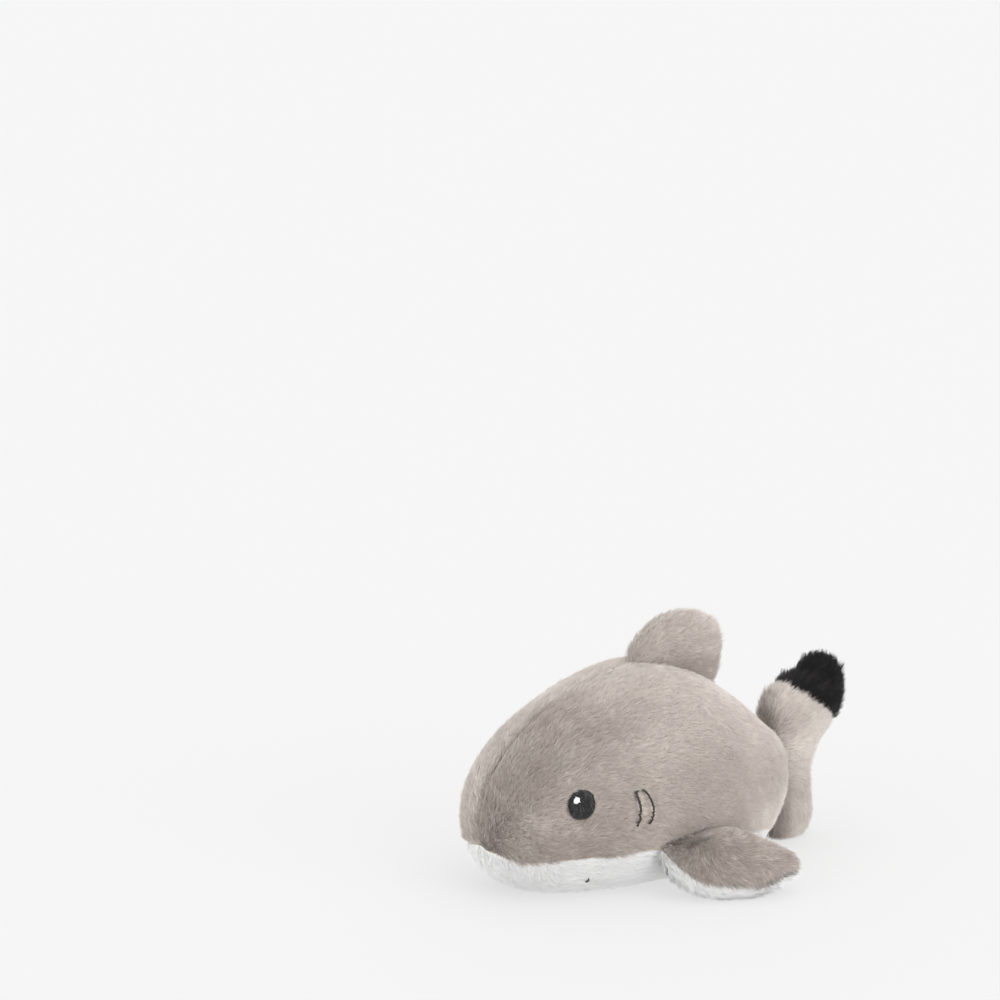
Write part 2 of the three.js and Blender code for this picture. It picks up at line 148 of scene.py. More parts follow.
def patterned_material(name, dark, light, scale, stretch, bump_depth, roughness=0.95):
    """A material whose colour and height follow a fine noise, stretched along one direction."""
    material = plain_material(name, linear(*light), roughness, 0.2, 0.2)
    nodes = material.node_tree.nodes
    links = material.node_tree.links
    shader = nodes["Principled BSDF"]
    place = nodes.new("ShaderNodeTexCoord")
    mapping = nodes.new("ShaderNodeMapping")
    mapping.inputs["Scale"].default_value = stretch
    links.new(place.outputs["Object"], mapping.inputs["Vector"])
    noise = nodes.new("ShaderNodeTexNoise")
    noise.inputs["Scale"].default_value = scale
    noise.inputs["Detail"].default_value = NOISE_DETAIL
    links.new(mapping.outputs["Vector"], noise.inputs["Vector"])
    colours = nodes.new("ShaderNodeValToRGB")
    low, high = colours.color_ramp.elements
    low.position = DARK_BELOW
    low.color = linear(*dark)
    high.position = LIGHT_ABOVE
    high.color = linear(*light)
    links.new(noise.outputs["Fac"], colours.inputs["Fac"])
    links.new(colours.outputs["Color"], shader.inputs["Base Color"])
    bump = nodes.new("ShaderNodeBump")
    bump.inputs["Strength"].default_value = BUMP_STRENGTH
    bump.inputs["Distance"].default_value = bump_depth
    links.new(noise.outputs["Fac"], bump.inputs["Height"])
    links.new(bump.outputs["Normal"], shader.inputs["Normal"])
    return material


def backing(name, dark, light):
    """Woven backing with pressed pile, seen between the hairs."""
    return patterned_material(name, dark, light, BACKING_FINENESS, (1, 0.35, 0.8), 0.4 * MM)


def thread(name, dark, light, roughness):
    """Embroidery thread, with the fine light and dark of its twisted strands."""
    return patterned_material(name, dark, light, THREAD_FINENESS, (1, 1, 0.5), 0.1 * MM, roughness)


GREY_BACKING = backing("grey_backing", (150, 140, 132), (204, 194, 186))
WHITE_BACKING = backing("white_backing", (226, 222, 214), (248, 247, 243))
BLACK_BACKING = backing("black_backing", (14, 13, 14), (34, 32, 33))
STUFFING = patterned_material(
    "stuffing_fibre", (214, 211, 203), (250, 249, 245), FIBRE_FINENESS, (1, 1, 1), 0.6 * MM,
)
BLACK_THREAD = thread("black_thread", (10, 10, 11), (46, 45, 45), 0.6)
# painted sheen: a lighter copy of the black thread, as painted highlights on some of the eye's threads
BLACK_PAINTED_SHEEN = thread("black_thread_shine", (20, 20, 21), (74, 73, 73), 0.5)
WHITE_THREAD = thread("white_thread", (214, 214, 220), (250, 250, 252), 0.5)
DARK_THREAD = thread("dark_thread", (34, 31, 31), (86, 80, 78), 0.6)
SEAM_THREAD = thread("seam_thread", (206, 201, 192), (240, 237, 230), 0.7)

# ---- Smooth noise over space ----


class Waves:
    """A smooth random field: sines of a given wavelength in random directions, from -1 to 1."""

    def __init__(self, wavelength, count=9):
        directions = RANDOM.normal(size=(count, 3))
        directions /= np.linalg.norm(directions, axis=1)[:, None]
        lengths = wavelength * RANDOM.uniform(0.7, 1.5, count)
        self.waves = directions * (2 * math.pi / lengths)[:, None]
        self.phases = RANDOM.uniform(0, 2 * math.pi, count)

    def at(self, points):
        total = np.sin(points @ self.waves.T + self.phases).sum(axis=1)
        return np.clip(total / math.sqrt(len(self.phases) * 0.5) / 2, -1, 1)


def unit(vectors):
    lengths = np.linalg.norm(vectors, axis=-1, keepdims=True)
    return vectors / np.maximum(lengths, 1e-12)


def ramp(values, start, end):
    """0 before start, 1 after end, and smooth between them."""
    share = np.clip((values - start) / (end - start), 0, 1)
    return share * share * (3 - 2 * share)


# ---- Stuffed skins ----

GAP_CLOSING = 0.45 * MM
GROOVE_REACH = 1.8 * MM
SKIN_THICKNESS = 1.2 * MM
ABOVE_FLOOR = 0.1 * MM
LYING_BELOW = 1 * MM  # what is lower lies on the floor and isn't pressed further down
PRESSURE = 4
STRETCH_STIFFNESS = 12
BENDING_STIFFNESS = 0.4
CLOTH_FRAMES = 15


def mesh_copy(nodes):
    """One new object that holds copies of these CAD nodes' meshes, each a little thicker, so
    that the gaps between them close."""
    shape = bmesh.new()
    for node in nodes:
        shape.from_mesh(NODES[node].data)
    shape.normal_update()
    for vertex in shape.verts:
        vertex.co += vertex.normal * GAP_CLOSING
        vertex.co.z = max(vertex.co.z, 0)
    mesh = bpy.data.meshes.new("skin")
    shape.to_mesh(mesh)
    shape.free()
    made = bpy.data.objects.new("skin", mesh)
    bpy.context.collection.objects.link(made)
    return made


def select_only(thing):
    bpy.ops.object.select_all(action="DESELECT")
    thing.select_set(True)
    bpy.context.view_layer.objects.active = thing


def apply_modifier(thing, kind, **settings):
    select_only(thing)
    modifier = thing.modifiers.new(kind.lower(), kind)
    for key, value in settings.items():
        setattr(modifier, key, value)
    bpy.ops.object.modifier_apply(modifier=modifier.name)


def keep_largest_island(thing):
    """Drops the hollows inside, so that one outer surface is left."""
    shape = bmesh.new()
    shape.from_mesh(thing.data)
    unseen = set(shape.verts)
    largest = set()
    while unseen:
        island = {unseen.pop()}
        edge_of_island = list(island)
        while edge_of_island:
            vertex = edge_of_island.pop()
            for edge in vertex.link_edges:
                other = edge.other_vert(vertex)
                if other not in island:
                    island.add(other)
                    edge_of_island.append(other)
        unseen -= island
        if len(island) > len(largest):
            largest = island
    bmesh.ops.delete(shape, geom=[v for v in shape.verts if v not in largest], context="VERTS")
    shape.to_mesh(thing.data)
    shape.free()


def positions(mesh):
    flat = np.empty(len(mesh.vertices) * 3)
    mesh.vertices.foreach_get("co", flat)
    return flat.reshape(-1, 3)


def inflate(thing, most):
    """Blows the skin up a little as cloth, as stuffing does, moving no point further than most."""
    before = positions(thing.data)
    select_only(thing)
    cloth = thing.modifiers.new("cloth", "CLOTH")
    cloth.settings.use_pressure = True
    cloth.settings.uniform_pressure_force = PRESSURE
    cloth.settings.tension_stiffness = STRETCH_STIFFNESS
    cloth.settings.compression_stiffness = STRETCH_STIFFNESS
    cloth.settings.bending_stiffness = BENDING_STIFFNESS
    cloth.settings.effector_weights.gravity = 0
    scene = bpy.context.scene
    for number in range(1, CLOTH_FRAMES + 1):
        scene.frame_set(number)
    bpy.ops.object.modifier_apply(modifier=cloth.name)
    scene.frame_set(1)
    moved = positions(thing.data) - before
    lying = before[:, 2] < LYING_BELOW
    moved[:, 2] = np.where(lying, np.maximum(moved[:, 2], 0), moved[:, 2])
    lengths = np.linalg.norm(moved, axis=1)[:, None]
    held = moved * np.minimum(1, most / np.maximum(lengths, 1e-9))
    thing.data.vertices.foreach_set("co", (before + held).ravel())
    thing.data.update()


def stuffed_skin(nodes, voxel, smoothing, most):
    """The outer surface of some CAD nodes, stuffing included, as one soft closed skin."""
    skin = mesh_copy(nodes)
    apply_modifier(skin, "REMESH", mode="VOXEL", voxel_size=voxel)
    keep_largest_island(skin)
    apply_modifier(skin, "SMOOTH", factor=0.5, iterations=smoothing)
    inflate(skin, most)
    apply_modifier(skin, "SUBSURF", levels=1)
    return skin


class Panel:
    """A CAD panel that a skin is compared with."""

    def __init__(self, node):
        mesh = NODES[node].data
        faces = [tuple(face.vertices) for face in mesh.polygons]
        self.tree = BVHTree.FromPolygons([v.co for v in mesh.vertices], faces)

    def distance(self, point):
        return self.tree.find_nearest(point)[3]


def nearest(panels, point):
    return min(panel.distance(point) for panel in panels)


def cut_between(shape, some, others, from_seam):
    """Cuts edges along the seam between some panels and others, which is where a skin is as near
    to one as to the other, and notes in a layer how far each point is from the nearest seam."""
    balance = {}
    for v in shape.verts:
        here, there = nearest(some, v.co), nearest(others, v.co)
        balance[v] = here - there
        v[from_seam] = min(v[from_seam], math.sqrt(abs(here * here - there * there)))
    cuts = []
    for edge in list(shape.edges):
        start, end = edge.verts
        first, last = balance[start], balance[end]
        if first * last < 0:
            cut = bmesh.utils.edge_split(edge, start, first / (first - last))[1]
            cut[from_seam] = 0
            balance[cut] = 0
            cuts.append(cut)
    bmesh.ops.connect_verts(shape, verts=cuts)


def split_into_panels(skin, groups, cuts, groove):
    """Cuts a closed skin along its seams into one object per group of CAD nodes. The thread
    draws each seam in, by the depth that groove gives for a place."""
    panels = {node: Panel(node) for nodes in groups.values() for node in nodes}
    shape = bmesh.new()
    shape.from_mesh(skin.data)
    from_seam = shape.verts.layers.float.new("from_seam")
    for v in shape.verts:
        v[from_seam] = 1
    for some, others in cuts:
        cut_between(shape, [panels[n] for n in some], [panels[n] for n in others], from_seam)
    names = list(groups)
    owner = []
    for face in shape.faces:
        middle = face.calc_center_median()
        distances = [nearest([panels[n] for n in groups[name]], middle) for name in names]
        owner.append(int(np.argmin(distances)))
    shape.normal_update()
    for v in shape.verts:
        v.co -= v.normal * groove(v.co) * math.exp(-(v[from_seam] / GROOVE_REACH) ** 2)
        v.co.z = max(v.co.z, ABOVE_FLOOR)
    pieces = {}
    for index, name in enumerate(names):
        part = shape.copy()
        part.faces.ensure_lookup_table()
        unwanted = [part.faces[i] for i, number in enumerate(owner) if number != index]
        bmesh.ops.delete(part, geom=unwanted, context="FACES")
        mesh = bpy.data.meshes.new(name)
        part.to_mesh(mesh)
        part.free()
        mesh.shade_smooth()
        piece = bpy.data.objects.new(name, mesh)
        bpy.context.collection.objects.link(piece)
        pieces[name] = piece
    shape.free()
    bpy.data.objects.remove(skin)
    return pieces


def finish_skin(piece, material, nodes, slot):
    """Gives a fur panel its thickness and its backing, and hides the CAD panel it stands for."""
    apply_modifier(piece, "SOLIDIFY", thickness=SKIN_THICKNESS, offset=-1)
    piece.data.materials.clear()
    piece.data.materials.append(material)
    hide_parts(*nodes)


# ---- Fur ----

HAIRS_TO_A_CLUMP = 7
MOST_TRIANGLES = 190_000  # in one piece of fur
SHORTER_AT_SEAM = 0.5
SHORT_NEAR_SEAM = 3 * MM
ROOT_DEPTH = 0.35 * MM
FLATTEST = 1.52  # radians from upright
TRIANGLES_CURVED, TRIANGLES_STRAIGHT = 10, 4  # in one hair
LENGTHS = (0.75, 1.15)  # shortest and longest hair, of a coat's own length
RADII = (0.75, 1.3)  # thinnest and thickest
THINNER_EACH_RING = 0.15
ROOT_DARKER, TIP_LIGHTER = 0.05, 0.04
BEND_AT_ROOT, BEND_AT_TIP = 0.75, 1.25  # of the lean
LEAST_HEIGHT = 0.05 * MM


class Coat:
    """One layer of hair. The lean is from upright, in radians. The clump is how strongly
    neighbouring tips are drawn together."""

    def __init__(self, name, per_mm2, length, radius, lean, curved, clump):
        self.name = name
        self.per_mm2 = per_mm2 * 1
        self.length = length
        self.radius = radius
        self.lean = lean
        self.curved = curved
        self.clump = clump


UNDERCOAT = Coat("undercoat", 6, 3.2 * MM, 0.12 * MM, 1.0, False, 0)
OVERCOAT = Coat("overcoat", 2.2, 4.4 * MM, 0.1 * MM, 1.12, True, 0.5)


def everywhere(value):
    """The same value at all points."""
    return lambda points: value


class Fur:
    """How the fur of one kind of panel looks. length, lean, thickness and clump change what its
    coats say. streak is how much the tone varies from place to place and from hair to hair.
    parting is how clearly its seams show between the hairs. softness is how far light falls on
    a hair as it falls on the skin below."""

    def __init__(self, materials, flow, tone, streak=everywhere(1), parting=everywhere(1)):
        self.materials = materials
        self.flow = flow
        self.tone = tone
        self.streak = streak
        self.parting = parting
        self.length = 1
        self.lean = 0
        self.thickness = 1
        self.clump = 1
        self.softness = 0.88

    def but(self, **changes):
        for name, value in changes.items():
            setattr(self, name, value)
        return self


TURN_OF_SWIRL, TURN_OF_RUFFLE, TURN_OF_HAIR = 0.4, 0.25, 0.18  # radians
TONE_OF_PATCH, TONE_OF_SMALL_PATCH, TONE_OF_CLUMP, TONE_OF_HAIR = 0.07, 0.05, 0.06, 0.05
SWIRL = Waves(26 * MM)
RUFFLE = Waves(7 * MM)
PATCH = Waves(24 * MM)
SMALL_PATCH = Waves(8 * MM)


def vertex_values(mesh, name, width):
    values = np.empty(len(mesh.vertices) * width)
    if name == "from_seam":
        mesh.attributes[name].data.foreach_get("value", values)
    else:
        mesh.vertex_normals.foreach_get("vector", values)
    return values.reshape(-1, width)


def sample_surface(mesh, per_mm2):
    """Random points on a mesh, with its smooth normals and the distance to a seam there."""
    mesh.calc_loop_triangles()
    triangles = np.empty(len(mesh.loop_triangles) * 3, dtype=np.int64)
    mesh.loop_triangles.foreach_get("vertices", triangles)
    triangles = triangles.reshape(-1, 3)
    spots = positions(mesh)
    a, b, c = (spots[triangles[:, i]] for i in range(3))
    areas = np.linalg.norm(np.cross(b - a, c - a), axis=1) / 2
    count = int(areas.sum() * 1e6 * per_mm2)
    chosen = RANDOM.choice(len(areas), count, p=areas / areas.sum())
    across = np.sqrt(RANDOM.random(count))[:, None]
    along = RANDOM.random(count)[:, None]
    weights = (1 - across, across * (1 - along), across * along)
    corner = triangles[chosen]

    def blended(values):
        return sum(w * values[corner[:, i]] for i, w in enumerate(weights))

    up = unit(blended(vertex_values(mesh, "normal", 3)))
    return blended(spots), up, blended(vertex_values(mesh, "from_seam", 1))[:, 0]


def clumped(points, tips, pull):
    """Draws the tips of neighbouring hairs together, as pile does, and numbers the clumps."""
    count = max(4, int(len(points) / HAIRS_TO_A_CLUMP))
    leaders = RANDOM.choice(len(points), count, replace=False)
    tree = KDTree(count)
    for i, leader in enumerate(leaders):
        tree.insert(points[leader], i)
    tree.balance()
    group = np.array([tree.find(p)[1] for p in points])
    lead = points[leaders[group]]
    toward = lead * 0.6 + points * 0.4 + tips[leaders[group]] - lead
    share = pull * RANDOM.uniform(0.5, 1.5, len(points))
    return tips + (toward - tips) * share[:, None], group


def near_seam(from_seam, reach):
    """1 on a seam and 0 further than reach from it."""
    return 1 - ramp(from_seam, 0, reach)


def leaning(up, combed, lean):
    """The direction of a hair that leans so many radians from upright."""
    return up * np.cos(lean)[:, None] + combed * np.sin(lean)[:, None]


def grow(name, piece, fur, coat, shaping):
    """Covers a panel in one coat of hair. Each hair is a three-sided spike, closed at both ends."""
    points, up, from_seam = sample_surface(piece.data, coat.per_mm2)
    count = len(points)
    combed = fur.flow(points)
    combed = unit(combed - up * (combed * up).sum(axis=1)[:, None])
    turn = TURN_OF_SWIRL * SWIRL.at(points) + TURN_OF_RUFFLE * RUFFLE.at(points)
    turn += TURN_OF_HAIR * RANDOM.normal(size=count)
    side = np.cross(up, combed)
    combed = combed * np.cos(turn)[:, None] + side * np.sin(turn)[:, None]
    ruffled = RUFFLE.at(points + 1)
    length = fur.length * coat.length * RANDOM.uniform(*LENGTHS, count) * (1 + 0.1 * ruffled)
    length *= 1 - SHORTER_AT_SEAM * near_seam(from_seam, SHORT_NEAR_SEAM) * fur.parting(points)
    lean = fur.lean + coat.lean + 0.1 * RANDOM.normal(size=count) + 0.1 * ruffled
    streak = fur.streak(points)
    patches = TONE_OF_PATCH * PATCH.at(points) + TONE_OF_SMALL_PATCH * SMALL_PATCH.at(points)
    tone = fur.tone(points, from_seam)
    tone = tone + streak * (patches + TONE_OF_HAIR * RANDOM.normal(size=count))
    length, lean, tone, keep = shaping(points, combed, length, lean, tone)
    if coat.curved:
        half_length = (length * 0.5)[:, None]
        middles = points + leaning(up, combed, lean * BEND_AT_ROOT) * half_length
        bent_over = np.minimum(lean * BEND_AT_TIP, FLATTEST)
        tips = middles + leaning(up, combed, bent_over) * half_length
        tips, group = clumped(points, tips, fur.clump * coat.clump)
        tone += streak * TONE_OF_CLUMP * RANDOM.normal(size=int(group.max()) + 1)[group]
        spine = [points, middles, tips]
    else:
        spine = [points, points + leaning(up, combed, lean) * length[:, None]]
    kept = np.flatnonzero(keep)
    triangles_each = TRIANGLES_CURVED if coat.curved else TRIANGLES_STRAIGHT
    parts = math.ceil(len(kept) * triangles_each / MOST_TRIANGLES)
    made = []
    for number, chosen in enumerate(np.array_split(kept, parts)):
        hair = hair_mesh(
            f"{name}_{coat.name}_{number}", [ring[chosen] for ring in spine],
            up[chosen], fur, coat.radius * fur.thickness, tone[chosen],
        )
        made.append(bpy.data.objects.new(hair.name, hair))
        bpy.context.collection.objects.link(made[-1])
    return made


def hair_faces(rings):
    """The quads and triangles of a three-sided spike: its sides, its tip and its base."""
    pairs = [(k, (k + 1) % 3) for k in range(3)]
    quads = []
    for ring in range(rings - 1):
        low, high = 3 * ring, 3 * ring + 3
        quads += [(high + k, high + m, low + m, low + k) for k, m in pairs]
    last = 3 * (rings - 1)
    triangles = [(3 * rings, last + m, last + k) for k, m in pairs] + [(0, 1, 2)]
    return quads, triangles


def hair_mesh(name, spine, up, fur, radius, tone):
    """One mesh of many hairs, with a shade for the root and the tip of each, and normals that
    are mostly the skin's, so that light falls on the pile softly."""
    count, rings = len(up), len(spine) - 1
    roots = spine[0] - up * ROOT_DEPTH
    spine = [roots, *spine[1:]]
    side = unit(np.cross(spine[-1] - roots, up))
    other = unit(np.cross(side, spine[-1] - roots))
    radii = radius * RANDOM.uniform(*RADII, count)
    vertices = np.empty((count, 3 * rings + 1, 3))
    for ring in range(rings):
        for k in range(3):
            angle = 2 * math.pi * k / 3 + math.pi / 2
            outward = side * math.cos(angle) + other * math.sin(angle)
            reach = radii * (1 - THINNER_EACH_RING * ring)
            vertices[:, 3 * ring + k] = spine[ring] + outward * reach[:, None]
    vertices[:, -1] = spine[-1]
    vertices[:, :, 2] = np.maximum(vertices[:, :, 2], LEAST_HEIGHT)
    quads, triangles = hair_faces(rings)
    base = np.arange(count)[:, None] * (3 * rings + 1)
    pattern = np.array([corner for face in quads + triangles for corner in face])
    corners = base + pattern
    sizes = np.tile([4] * len(quads) + [3] * len(triangles), count)
    mesh = bpy.data.meshes.new(name)
    mesh.vertices.add(count * (3 * rings + 1))
    mesh.vertices.foreach_set("co", vertices.ravel())
    mesh.loops.add(corners.size)
    mesh.loops.foreach_set("vertex_index", corners.ravel())
    mesh.polygons.add(len(sizes))
    mesh.polygons.foreach_set("loop_start", np.concatenate([[0], np.cumsum(sizes)[:-1]]))
    shade_hairs(mesh, fur, tone, len(quads))
    mesh.update()
    mesh.validate()
    mesh.shade_smooth()
    own = unit(vertices - vertices.mean(axis=1, keepdims=True))
    soft = unit(up[:, None, :] * fur.softness + own * (1 - fur.softness))
    mesh.normals_split_custom_set_from_vertices(soft.reshape(-1, 3).tolist())
    return mesh


def shade_hairs(mesh, fur, tone, quads):
    """Gives each hair a dark root and a light tip, by one of the fur's shades for each face."""
    lightest = len(fur.materials) - 1
    root_shade = np.clip(np.round((tone - ROOT_DARKER) * lightest), 0, lightest)[:, None]
    tip_shade = np.clip(np.round((tone + TIP_LIGHTER) * lightest), 0, lightest)[:, None]
    shade = np.hstack([np.repeat(root_shade, quads, 1), np.repeat(tip_shade, 3, 1), root_shade])
    for material in fur.materials:
        mesh.materials.append(material)
    mesh.polygons.foreach_set("material_index", shade.ravel().astype(np.int32))


# ---- Where the hair lies and how dark it is ----

NOSE = np.array((0, -70, 15)) * MM
PECTORAL_ROOT = np.array((36.5, 2, 19)) * MM
PECTORAL_TIP = np.array((57, 27, 6)) * MM
PECTORAL_TILT = math.radians(35)
PECTORAL_NORMAL = np.array((math.sin(PECTORAL_TILT), 0, math.cos(PECTORAL_TILT)))


def body_flow(points):
    """Hair spreads from the nose over the head, and then lies back and a little down."""
    spread = unit(points - NOSE)
    back = unit(np.array((0.0, 1.0, -0.28)))
    share = ramp(points[:, 1], -52 * MM, -5 * MM)[:, None]
    return spread * (1 - share) + back * share


def belly_flow(points):
    """Hair lies down from the seam round the chin, and back under the belly."""
    down = unit(np.array((0.0, 0.35, -0.9)))
    back = unit(np.array((0.0, 1.0, -0.1)))
    share = ramp(points[:, 1], -66 * MM, -38 * MM)[:, None]
    return down * (1 - share) + back * share


def dorsal_flow(points):
    return np.tile((0.0, 0.8, 0.45), (len(points), 1))


def tail_flow(points):
    """Hair runs back, up the upper lobe and down the lower one."""
    lift = np.clip((points[:, 2] - 34 * MM) / (25 * MM), -1, 1)
    return np.stack([np.zeros(len(points)), np.full(len(points), 0.7), lift], axis=1)


def pectoral_flow(points):
    """Hair runs out along the fin, and parts along its middle towards both edges."""
    mirror = np.array((-1, 1, 1)) if points[:, 0].mean() < 0 else np.ones(3)
    along = unit(PECTORAL_TIP - PECTORAL_ROOT)
    across = np.cross(PECTORAL_NORMAL, along)
    offset = (points * mirror - PECTORAL_ROOT) @ across
    parting = np.clip(offset / (5 * MM), -1, 1)[:, None]
    return (along * 0.8 + across * parting * 0.8) * mirror


def body_tone(points, from_seam):
    """Dark on the head, lighter behind it, and lightest over the back and low down at the rear.
    The right of the snout, where the pile is brushed up, is painted lighter than the left, as a painted
    sheen."""
    x, y, z = points.T
    behind_head = ramp(y, -50 * MM, -15 * MM)
    over_back = ramp(z, 40 * MM, 70 * MM) * ramp(y, -48 * MM, -5 * MM)
    # painted sheen: the right of the snout is made lighter, for its pile seen at a grazing angle
    sheen_right_of_snout = ramp(-x, 0, 3 * MM) * (1 - ramp(y, -40 * MM, -15 * MM))
    rump = ramp(y, 5 * MM, 35 * MM)
    low_rear = (1 - ramp(z, 18 * MM, 36 * MM)) * ramp(y, 22 * MM, 38 * MM)
    tone = 0.41 + 0.07 * behind_head + 0.14 * over_back + 0.07 * rump + 0.3 * low_rear
    tone += 0.2 * sheen_right_of_snout
    # painted shade: darker along the middle seam of the snout, where the pile folds into it, but not on
    # the right of the snout
    seam = near_seam(from_seam, 4 * MM) * body_parting_and_shade(points)
    return tone - 0.22 * seam * (1 - sheen_right_of_snout)


def body_parting_and_shade(points):
    """The middle seam shows on the snout and fades out over the brow, and the seam to the belly hardly
    shows. This weighs both the shorter hair at the seam and the painted shade along it."""
    return ramp(-points[:, 1], 32 * MM, 62 * MM) * ramp(points[:, 2], 18 * MM, 26 * MM)


def body_streak(points):
    """The pile is brushed about more on the head than on the back."""
    return 1 - 0.5 * ramp(points[:, 1], -45 * MM, 0)


def dorsal_tone(points, from_seam):
    """Painted shade low down at the rear, where the fin meets the back."""
    y, z = points.T[1:]
    shaded = (1 - ramp(z, 76 * MM, 86 * MM)) * ramp(y, 2 * MM, 18 * MM)
    return 0.52 + 0.1 * ramp(z, 78 * MM, 95 * MM) - 0.16 * shaded


def pectoral_tone(points, from_seam):
    return 0.39 + 0.04 * ramp(points[:, 1], -5 * MM, 35 * MM)


def tail_tone(points, from_seam):
    """Painted shade at the bottom of the leading edge, next to the body."""
    y, z = points.T[1:]
    shaded = (1 - ramp(z, 12 * MM, 30 * MM)) * (1 - ramp(y, 68 * MM, 76 * MM))
    return 0.7 + 0.04 * ramp(z, 5 * MM, 50 * MM) - 0.45 * shaded


def even_tone(value):
    """The same tone at all points."""
    return lambda points, from_seam: np.full(len(points), value)


class Patch:
    """A place on the skin, such as an eye, that hair keeps clear of."""

    def __init__(self, node, margin):
        spots = positions(NODES[node].data)
        self.centre = spots.mean(axis=0)
        _, _, axes = np.linalg.svd(spots - self.centre)
        self.axes = axes[:2]
        self.half = np.abs((spots - self.centre) @ self.axes.T).max(axis=0) + margin

    def holds(self, points):
        flat = (points - self.centre) @ self.axes.T / self.half
        close = np.linalg.norm(points - self.centre, axis=1) < self.half.max() * 1.5
        return close & ((flat ** 2).sum(axis=1) < 1)


SIDES = {"left": 1, "right": -1}
FACE_PATCHES = [Patch(f"eye_{side}", -0.3 * MM) for side in SIDES]
GILL_NODES = [f"gill_stitch_{row}_{side}" for row in ("front", "rear") for side in SIDES]
FACE_PATCHES += [Patch(node, 0.1 * MM) for node in GILL_NODES]


def gill_welts():
    """The middle of each pair of gill stitches, where the pile between them is pale and short."""
    for side in SIDES:
        rows = [positions(NODES[f"gill_stitch_{row}_{side}"].data) for row in ("front", "rear")]
        yield (rows[0].mean(axis=0) + rows[1].mean(axis=0)) / 2


GILL_WELTS = list(gill_welts())
GILL_WELT_HALF = np.array((6, 1.7, 6.5)) * MM
GILL_WELT_PALER = 0.14
REACHES_TRIED = (0.9, 0.6, 0.35)  # of a hair's length
SHORTENED = 0.6
FLATTENED_BELOW = 1.2 * MM
FLATTENED_LEAN = 1.45
TAIL_CORNER = np.array((-9, 67, 58)) * MM
TIP_BUMP = np.array((-13.5, 78.5, 62)) * MM
TIP_NOTCH = np.array((-14.5, 84, 65)) * MM


def close_to(points, place, reach):
    """1 at a place, and less further away."""
    return np.exp(-(np.linalg.norm(points - place, axis=1) / reach) ** 2)


def all_kept(points):
    return np.ones(len(points), dtype=bool)


def tufted(points, combed, length, lean, tone):
    """The grey fur stands up in a tuft at the upper corner of the leading edge."""
    tuft = close_to(points, TAIL_CORNER, 4 * MM)
    return length * (1 + 0.4 * tuft), lean - 0.35 * tuft, tone, all_kept(points)


def notched(points, combed, length, lean, tone):
    """The black fur's leading edge has a tuft low down and a notch above it."""
    length = length * (1 + 0.3 * close_to(points, TIP_BUMP, 3 * MM))
    length = length * (1 - 0.7 * close_to(points, TIP_NOTCH, 3 * MM))
    return length, lean, tone, all_kept(points)


def no_shaping(points, combed, length, lean, tone):
    return length, lean, tone, all_kept(points)


def around_face(points, combed, length, lean, tone):
    """No hair grows under the embroidery, and hair in front of it is short."""
    keep = all_kept(points)
    for patch in FACE_PATCHES:
        keep &= ~patch.holds(points)
        for reach in REACHES_TRIED:
            over = patch.holds(points + combed * (length * reach)[:, None])
            length = np.where(over, length * SHORTENED, length)
    for middle in GILL_WELTS:
        inside = (((points - middle) / GILL_WELT_HALF) ** 2).sum(axis=1) < 1
        length = np.where(inside, length * 0.7, length)
        tone = np.where(inside, tone + GILL_WELT_PALER, tone)
    return length, lean, tone, keep


MOUTH = positions(NODES["mouth_stitch"].data)
MOUTH_CORNERS = [MOUTH[MOUTH[:, 0].argmax()], MOUTH[MOUTH[:, 0].argmin()]]


def under_belly(points, combed, length, lean, tone):
    """Hair under the belly is flattened by what it lies on, and parts at the mouth's corners."""
    low = points[:, 2] < FLATTENED_BELOW
    keep = ~low | (RANDOM.random(len(points)) < 0.25)
    length = np.where(low, length * 0.7, length)
    from_mouth = np.min([np.linalg.norm(points - spot, axis=1) for spot in MOUTH[::4]], axis=0)
    length = length * (0.75 + 0.25 * ramp(from_mouth, 0.5 * MM, 2.5 * MM))
    for corner in MOUTH_CORNERS:
        from_corner = np.linalg.norm(points - corner, axis=1)
        keep &= from_corner > 0.8 * MM
        length = length * (0.6 + 0.4 * ramp(from_corner, 1 * MM, 3 * MM))
    return length, np.where(low, FLATTENED_LEAN, lean), tone, keep


HIDDEN_SEAM = everywhere(0.2)
WHITE_TONE = even_tone(0.8)
BLACK_TONE = even_tone(0.22)
GREY_BODY = Fur(GREY_SHADES, body_flow, body_tone, body_streak, body_parting_and_shade)
WHITE_BODY = Fur(WHITE_SHADES, belly_flow, WHITE_TONE, parting=HIDDEN_SEAM)
WHITE_BODY.but(length=0.9, lean=0.05, softness=0.96)
GREY_DORSAL = Fur(GREY_SHADES, dorsal_flow, dorsal_tone, parting=HIDDEN_SEAM).but(lean=-0.1)
GREY_PECTORAL = Fur(GREY_SHADES, pectoral_flow, pectoral_tone, everywhere(1.4), everywhere(0.4))
WHITE_PECTORAL = Fur(WHITE_SHADES, pectoral_flow, WHITE_TONE, parting=HIDDEN_SEAM)
WHITE_PECTORAL.but(lean=-0.1, softness=0.96)
GREY_TAIL = Fur(GREY_SHADES, tail_flow, tail_tone, parting=HIDDEN_SEAM).but(lean=-0.1)
BLACK_TAIL = Fur(BLACK_SHADES, tail_flow, BLACK_TONE, everywhere(2), HIDDEN_SEAM)
BLACK_TAIL.but(length=1.2, lean=-0.4, thickness=1.6, clump=1.6)

# ---- Joints of the skins; the code reads only whether one is given, and bends no skin at it ----

SWAY_BEND = (Vector((0.0005, 0.046, 0.03)), Vector((-0.008, 0.0665, 0.03)))
FOLD_BEND = (Vector((-0.0075, 0.0655, 0.03)), Vector((-0.0092, 0.0725, 0.03)))
DORSAL_BEND = (Vector((0, 0.0133, 0.0735)), Vector((0, 0.0157, 0.0812)))


def pectoral_bend(side):
    return Vector((side * 0.0355, 0.002, 0.02)), Vector((side * 0.041, 0.002, 0.016))


